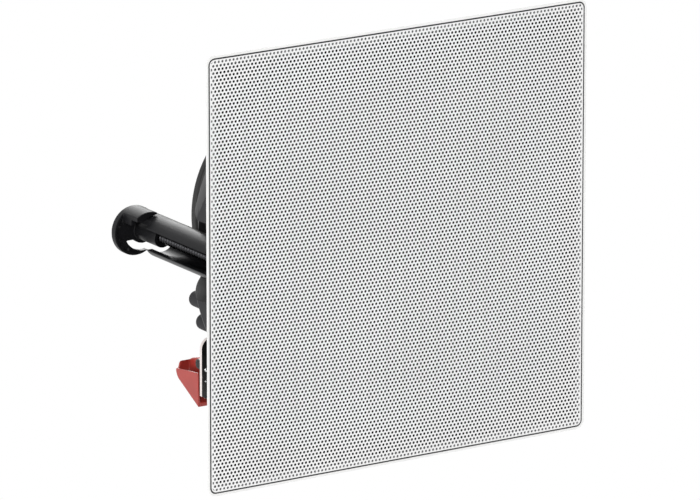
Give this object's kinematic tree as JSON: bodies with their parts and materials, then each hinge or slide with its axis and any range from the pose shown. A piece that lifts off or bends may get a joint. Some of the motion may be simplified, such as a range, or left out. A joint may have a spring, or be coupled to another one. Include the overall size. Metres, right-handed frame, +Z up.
{
  "type": "in wall speaker",
  "caption": "Square in-wall loudspeaker: flush perforated grille in a slim frame, open four-leg chassis with coaxial driver, screw clamps and lever terminals.",
  "frame": {"origin": "centre of the front frame, on the plane where the flange seats on the wall", "axes": "+X right seen from the room, +Y into the wall, +Z up"},
  "size_m": [0.2314, 0.1137, 0.2314],
  "materials": {
    "white_moulding": "satin moulded",
    "white_coated_steel": "powder coated",
    "black_scrim": "woven",
    "dark_moulding": "satin moulded",
    "zinc_steel": "zinc plated",
    "black_steel": "black oxide",
    "ferrite": "ground",
    "nickel": "nickel plated",
    "black_rubber": "matt",
    "cone_fibre": "pressed",
    "spider_cloth": "resin treated",
    "coil_former": "rolled",
    "copper": "enamelled wire",
    "aluminium": "satin",
    "black_board": "solder mask",
    "black_gloss": "moulded",
    "red_gloss": "moulded"
  },
  "bodies": {
    "speaker": {"front_frame": "white_moulding", "grille": "white_coated_steel", "grille_scrim": "black_scrim", "edge_seal": "black_rubber", "grille_magnets": "nickel", "frame_screws": "zinc_steel", "chassis": "dark_moulding", "trim_ring": "black_rubber", "top_plate": "zinc_steel", "magnet_ring": "ferrite", "yoke": "black_steel", "tweeter_post": "aluminium", "tweeter_cup": "black_gloss", "tweeter_magnet": "nickel", "tweeter_faceplate": "black_gloss", "tweeter_dome": "aluminium", "clamp_channel_left": "dark_moulding", "clamp_channel_right": "dark_moulding", "crossover_board": "black_board", "board_screws": "zinc_steel", "inductor_bobbin": "black_gloss", "inductor_winding": "copper", "capacitor": "black_gloss", "terminal_block": "black_gloss", "lever_pin": "zinc_steel"},
    "screw_left": {"clamp_screw_left": "black_steel"},
    "foot_left": {"clamp_foot_left": "dark_moulding"},
    "screw_right": {"clamp_screw_right": "black_steel"},
    "foot_right": {"clamp_foot_right": "dark_moulding"},
    "cone_body": {"cone": "cone_fibre", "coil_former": "coil_former", "voice_coil": "copper", "surround": "black_rubber", "spider": "spider_cloth"},
    "red_lever_body": {"red_lever": "red_gloss"},
    "black_lever_body": {"black_lever": "black_gloss"}
  },
  "joints": [
    {"name": "screw_turn_left", "type": "hinge", "parent": "speaker", "child": "screw_left", "pos_m": [-0.093, 0.05, 0], "axis": [0, 1, 0], "range_deg": [0, 10170]},
    {"name": "foot_slide_left", "type": "slide", "parent": "speaker", "child": "foot_left", "axis": [0, 1, 0], "range_m": [-0.0705, 0]},
    {"name": "screw_turn_right", "type": "hinge", "parent": "speaker", "child": "screw_right", "pos_m": [0.093, 0.05, 0], "axis": [0, 1, 0], "range_deg": [0, 10170]},
    {"name": "foot_slide_right", "type": "slide", "parent": "speaker", "child": "foot_right", "axis": [0, 1, 0], "range_m": [-0.0705, 0]},
    {"name": "cone_travel", "type": "slide", "parent": "speaker", "child": "cone_body", "axis": [0, 1, 0], "range_m": [-0.004, 0.004], "stiffness_N_per_m": 1200, "deforming": ["surround", "spider"]},
    {"name": "red_lever_lift", "type": "hinge", "parent": "speaker", "child": "red_lever_body", "pos_m": [0, 0.0915, -0.076], "axis": [1, 0, 0], "range_deg": [0, 25], "stiffness_Nm_per_rad": 0.05, "springref_deg": -11.46},
    {"name": "black_lever_lift", "type": "hinge", "parent": "speaker", "child": "black_lever_body", "pos_m": [0, 0.0915, -0.076], "axis": [1, 0, 0], "range_deg": [0, 25], "stiffness_Nm_per_rad": 0.05, "springref_deg": -11.46}
  ],
  "couplings": [
    {"joint": "screw_turn_left", "follows": "foot_slide_left", "rad_per_m": -2513.3},
    {"joint": "screw_turn_right", "follows": "foot_slide_right", "rad_per_m": -2513.3}
  ]
}
